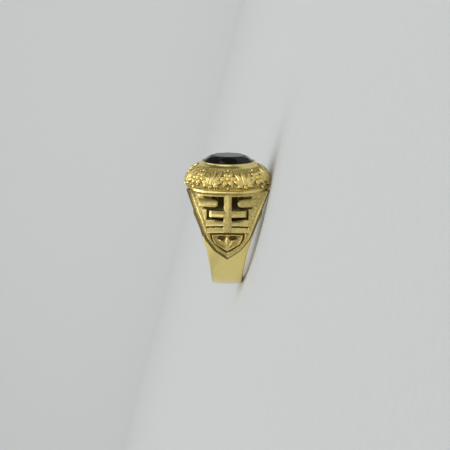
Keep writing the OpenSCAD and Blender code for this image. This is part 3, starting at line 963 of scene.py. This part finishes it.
# %% The recess value, as a sum of those masks: patina with painted shade and painted highlights
on_the_panel = (
    (1.0, sunk), (0.3, shade_near_window), (0.65, shield_line), (0.33, in_shield),
    (0.3 + 0.1 * ramp(long, 1.0), steps), (0.6, shade_under_bar), (0.5, shaded_bar_back),
    # painted shade on the upright, deeper on its left
    (0.42 + 0.15 * ramp(-long - 0.1, 0.5), post),
)
recess = sum(share * mask for share, mask in on_the_panel) * on_panel
# the cove under the rim is darkened, except on its left, which stays light as painted light
recess += 0.66 * strip + 0.3 * cove * ramp(long + 3, 4) + (0.85 + 0.3 * left_side) * outline + tip_border_shade
# painted shade at both ends of the head's foot, over a bright reflection
recess += 0.5 * over * ramp(side - 6.4, 1.0) * ramp(9.0 - height, 0.4)
# every point of a panel is at least this dark; the steps, the crossbar's crest and the right rim stay
# lighter, as painted highlights
least = 0.54 - 0.14 * steps - 0.12 * bar_crest_highlight - 0.38 * right_rim_highlight
recess = np.clip(np.maximum(recess, least * on_panel), 0, 1)
# inside the hoop: a little darkening everywhere, and the painted shade behind the windows, over 1 at its
# middle
store(casting.data, "recess", np.where(inner, 0.1 + 1.4 * shade_behind_windows, recess))
store(casting.data, "cast", np.where(inner, 0.2, np.clip(on_panel + strip, 0, 1)))
print("points with dirt:", int((recess > 0.5).sum()), "of", len(recess))
for piece in (motifs, grains):
    store(piece.data, "cast", np.ones(len(piece.data.vertices)))
# nothing reaches below the surface that the ring lies on
for piece in (casting, motifs, grains):
    points = read_points(piece.data)
    points[:, 2] = np.maximum(points[:, 2], 0)
    write_points(piece.data, points)

# %% A shared group for cast and polished gold
tree, given, made = new_tree("Gold surface", [
    ("Place", "NodeSocketVector", None), ("Recess", "NodeSocketFloat", 0.0),
    ("Cast", "NodeSocketFloat", 0.0), ("Gold", "NodeSocketColor", (0.9, 0.72, 0.32, 1)),
    ("Warm gold", "NodeSocketColor", (0.8, 0.56, 0.2, 1)),
    ("Tarnish", "NodeSocketColor", (0.1, 0.05, 0.01, 1)),
    ("Polish", "NodeSocketFloat", 0.16), ("Scratches", "NodeSocketFloat", 1.0),
], [("Color", "NodeSocketColor"), ("Roughness", "NodeSocketFloat"), ("Height", "NodeSocketFloat")],
    kind="ShaderNodeTree")
gold_group = tree
where, hollow, cast_part = (given[label] for label in ("Place", "Recess", "Cast"))


def noise(scale, detail=2.0, rough=0.5, vector=where):
    return node(tree, "ShaderNodeTexNoise", Vector=vector, Scale=scale, Detail=detail,
                Roughness=rough).outputs[0]


smudge = noise(700.0, 3.0)
mottle = noise(2600.0, 4.0, 0.6)
pits = noise(9000.0)
round_the_hoop = node(tree, "ShaderNodeVectorMath", {"operation": "MULTIPLY"},
                      i0=where, i1=(16.0, 0.5, 0.5))
scratch_line = mapped(tree, noise(900.0, 3.0, 0.65, round_the_hoop), 0.56, 0.72)
print("gold patterns:", len(tree.nodes), "nodes")

# %% The gold's colour, from clean through darkened to the near black of the painted shade behind the windows
warm = mapped(tree, mottle, 0.35, 0.7, to_high=0.5)
clean = mixed(tree, warm, given["Gold"], given["Warm gold"])
# the recess value darkens the gold: patina in hollows, and painted shade where the masks put it
uneven = combined(tree, "MULTIPLY", hollow, combined(tree, "ADD", mottle, 0.55), True)
patina_and_shade = mapped(tree, uneven, 0.25, 1.0, to_high=0.9, curve="SMOOTHSTEP")
darkened_gold = mixed(tree, patina_and_shade, clean, given["Tarnish"])
# only the painted shade behind the windows has a recess value over 1, and it is mixed toward near black
black = mapped(tree, hollow, 1.0, 1.5, to_high=0.8)
feed(made, Color=mixed(tree, black, darkened_gold, (0.008, 0.004, 0.002, 1)))
print("with colour:", len(tree.nodes), "nodes")

# %% The gold's roughness and its fine relief
rough = combined(tree, "ADD", given["Polish"], mapped(tree, smudge, 0.35, 0.7, -0.02, 0.07))
rough = combined(tree, "ADD", rough, combined(tree, "MULTIPLY", cast_part, 0.06))
rough = combined(tree, "ADD", rough, combined(tree, "MULTIPLY", patina_and_shade, 0.3), True)
cast_grain = combined(tree, "MULTIPLY", combined(tree, "ADD", mottle, pits), cast_part)
lines = combined(tree, "MULTIPLY", scratch_line, given["Scratches"])
waves = combined(tree, "MULTIPLY", smudge, 0.6)
relief = combined(tree, "ADD", combined(tree, "SUBTRACT", cast_grain, lines), waves)
feed(made, Roughness=rough, Height=relief)
print("with roughness and relief:", len(tree.nodes), "nodes")

# %% Materials of polished and of cast gold
PALE, WARM = (0.905, 0.74, 0.29, 1), (0.87, 0.69, 0.235, 1)
# the darkest gold, for patina and for painted shade
PATINA_AND_SHADE_GOLD = (0.088, 0.057, 0.007, 1)


def gold_material(material, polish, bump_strength, scratches):
    """Fills a material with the shared gold, with its own polish and relief."""
    tree, shader, where = shader_parts(material)
    upright = node(tree, "ShaderNodeMapping", {"vector_type": "TEXTURE"}, Vector=where,
                   Location=hole_centre, Rotation=(0, math.pi / 2 - lean, 0))
    recess, cast = (node(tree, "ShaderNodeAttribute", {"attribute_name": name}).outputs["Fac"]
                    for name in ("recess", "cast"))
    group = node(tree, "ShaderNodeGroup", {"node_tree": gold_group}, Place=upright, Recess=recess,
                 Cast=cast, Polish=polish, Scratches=scratches, Gold=PALE, Warm_gold=WARM,
                 Tarnish=PATINA_AND_SHADE_GOLD)
    relief = node(tree, "ShaderNodeBump", Strength=bump_strength, Distance=0.00002,
                  Height=group.outputs["Height"])
    feed(shader, Metallic=1.0, Base_Color=group.outputs["Color"],
         Roughness=group.outputs["Roughness"], Normal=relief)


gold_casting = bpy.data.materials.new("polished_gold")
gold_material(gold_casting, polish=0.17, bump_strength=0.35, scratches=1.0)
gold_material(gold_frieze, polish=0.2, bump_strength=0.6, scratches=0.3)
casting.data.materials.clear()
casting.data.materials.append(gold_casting)
# smooth shading, with a sharp edge wherever faces meet at more than this angle
casting.data.shade_smooth()
casting.data.set_sharp_from_angle(angle=math.radians(32))
print("gold materials:", gold_casting.name, "and", gold_frieze.name)

# %% [markdown]
# ## Onyx
# Onyx is chalcedony: nearly black, very smooth, with a glassy shine that grows at low angles. It
# lets no light through at this thickness, so it is an opaque shader. A faint banding, as onyx has,
# and the fine marks of the polishing lap are all that varies.

# %% The onyx
onyx = bpy.data.materials.new("black_onyx")
tree, shader, where = shader_parts(onyx)
bands = node(tree, "ShaderNodeTexWave", {"bands_direction": "DIAGONAL"}, Vector=where,
             Scale=160.0, Distortion=6.0, Detail=3.0)
tone = mixed(tree, bands.outputs["Fac"], (0.001, 0.001, 0.0015, 1), (0.004, 0.004, 0.0045, 1))
lap = node(tree, "ShaderNodeTexNoise", Vector=where, Scale=2500.0, Detail=3.0)
feed(shader, Base_Color=tone, Roughness=mapped(tree, lap, 0.3, 0.7, 0.03, 0.08), IOR=1.36)
stone.data.materials.append(onyx)
print("onyx:", len(tree.nodes), "nodes")

# %% [markdown]
# ## Floor, light and camera
# A pale sweep is floor and backdrop in one, so no line of a horizon shows behind the ring. A soft
# key stands on the stone's side, and a broad light from above is aimed at the wall. Gold shows
# mostly what it reflects, so three wide glows in the background give it something to reflect. The
# camera keeps the photograph's direction to the ring: square to the finger's axis, and 14 degrees
# from the shoulder toward the stone, with the stone at the top.

# %% The sweep
# the side view, as (Y, Z): flat, a quarter circle and a wall
turns = np.linspace(-math.pi / 2, 0, 24)
bend = [(0.6 + 0.4 * math.cos(t), 0.4 + 0.4 * math.sin(t)) for t in turns]
line = [(-0.9, 0), (-0.45, 0), (0, 0)] + bend + [(1.0, 1.0), (1.0, 1.6)]
wide = np.linspace(-1.8, 1.8, 13)
points = [(x, y, z) for y, z in line for x in wide]
sweep = mesh_piece("sweep", points, grid_faces(len(line), len(wide)), Matrix.Identity(4))
sweep.data.shade_smooth()
paper = bpy.data.materials.new("pale_paper")
tree, shader, where = shader_parts(paper)
fibres = node(tree, "ShaderNodeTexNoise", Vector=where, Scale=900.0, Detail=3.0)
tint = mixed(tree, fibres, (0.585, 0.597, 0.595, 1), (0.625, 0.637, 0.635, 1))
feed(shader, Base_Color=tint, Roughness=0.9)
sweep.data.materials.append(paper)
print("sweep:", len(sweep.data.polygons), "faces")

# %% The lights
def area_light(name, place, aim, size, power):
    lamp = bpy.data.lights.new(name, "AREA")
    lamp.shape = "DISK"
    lamp.size = size
    lamp.energy = power
    obj = link(bpy.data.objects.new(name, lamp))
    obj.location = place
    obj.rotation_euler = (Vector(aim) - Vector(place)).to_track_quat("-Z", "Y").to_euler()


area_light("key", (0.44, -0.29, 0.25), (0, 0, 0.01), 0.4, 0.29)
area_light("top_light", (-0.05, -0.1, 1.1), (0, 1.0, 0.5), 1.3, 8.0)
world = bpy.data.worlds.new("studio")
world.use_nodes = True
tree = world.node_tree
heading = node(tree, "ShaderNodeTexCoord")
# direction of the glow, the cosines to it at which it starts and is full, and how much it adds
GLOWS = (
    ((0.35, -0.93, 0.1), 0.05, 0.95, 0.35),
    ((-0.95, -0.2, 0.24), 0.3, 1.0, 0.4),
    ((-0.25, -0.1, 0.96), 0.25, 1.0, 0.45),
)
LEAST_LIGHT = 0.1
level = node(tree, "ShaderNodeValue").outputs[0]
level.default_value = LEAST_LIGHT
for toward_glow, first, last, most in GLOWS:
    along = node(tree, "ShaderNodeVectorMath", {"operation": "DOT_PRODUCT"},
                 i0=heading.outputs["Generated"], i1=toward_glow).outputs["Value"]
    glow = mapped(tree, along, first, last, to_high=most, curve="SMOOTHSTEP")
    level = combined(tree, "ADD", level, glow)
feed(tree.nodes["Background"], Color=(0.97, 0.985, 0.98, 1), Strength=level)
bpy.context.scene.world = world
print("lamps: 2, glows:", len(GLOWS))

# %% The camera
FOCAL_PIXELS = 1040
PICTURE_SIDE = 450
SENSOR = 36
DISTANCE = 0.2
RISE = math.radians(14)
ROLL = math.radians(0.7)
HOLE_PIXEL = (227.4, 226.0)
toward = -across * math.cos(RISE) + to_stone * math.sin(RISE)
up = to_stone * math.cos(RISE) + across * math.sin(RISE)
right = along_finger * math.cos(ROLL) + up * math.sin(ROLL)
up = up * math.cos(ROLL) - along_finger * math.sin(ROLL)
pixel = DISTANCE / FOCAL_PIXELS
camera = link(bpy.data.objects.new("camera", bpy.data.cameras.new("camera")))
camera.data.sensor_width = SENSOR
camera.data.lens = SENSOR * FOCAL_PIXELS / PICTURE_SIDE
camera.data.clip_start = 0.005
place = hole_centre + toward * DISTANCE
middle = PICTURE_SIDE / 2
place += right * (middle - HOLE_PIXEL[0]) * pixel + up * (HOLE_PIXEL[1] - middle) * pixel
camera.matrix_world = Matrix.Translation(place) @ Matrix((right, up, toward)).transposed().to_4x4()
bpy.context.scene.camera = camera
bpy.context.scene.view_settings.view_transform = "Standard"
print("camera above the floor plane by degrees:", round(math.degrees(math.asin(toward.z)), 1))

# %% [markdown]
# ## Which piece stands for what
# All gold pieces and the faceted stone are attached to the root body, and the imported parts
# that they replace are hidden.

# %% Hand over to the frame
for piece in (casting, motifs, grains):
    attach(piece, "root")
    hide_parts("ring_body")
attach(stone, "root")
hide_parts("onyx_stone")
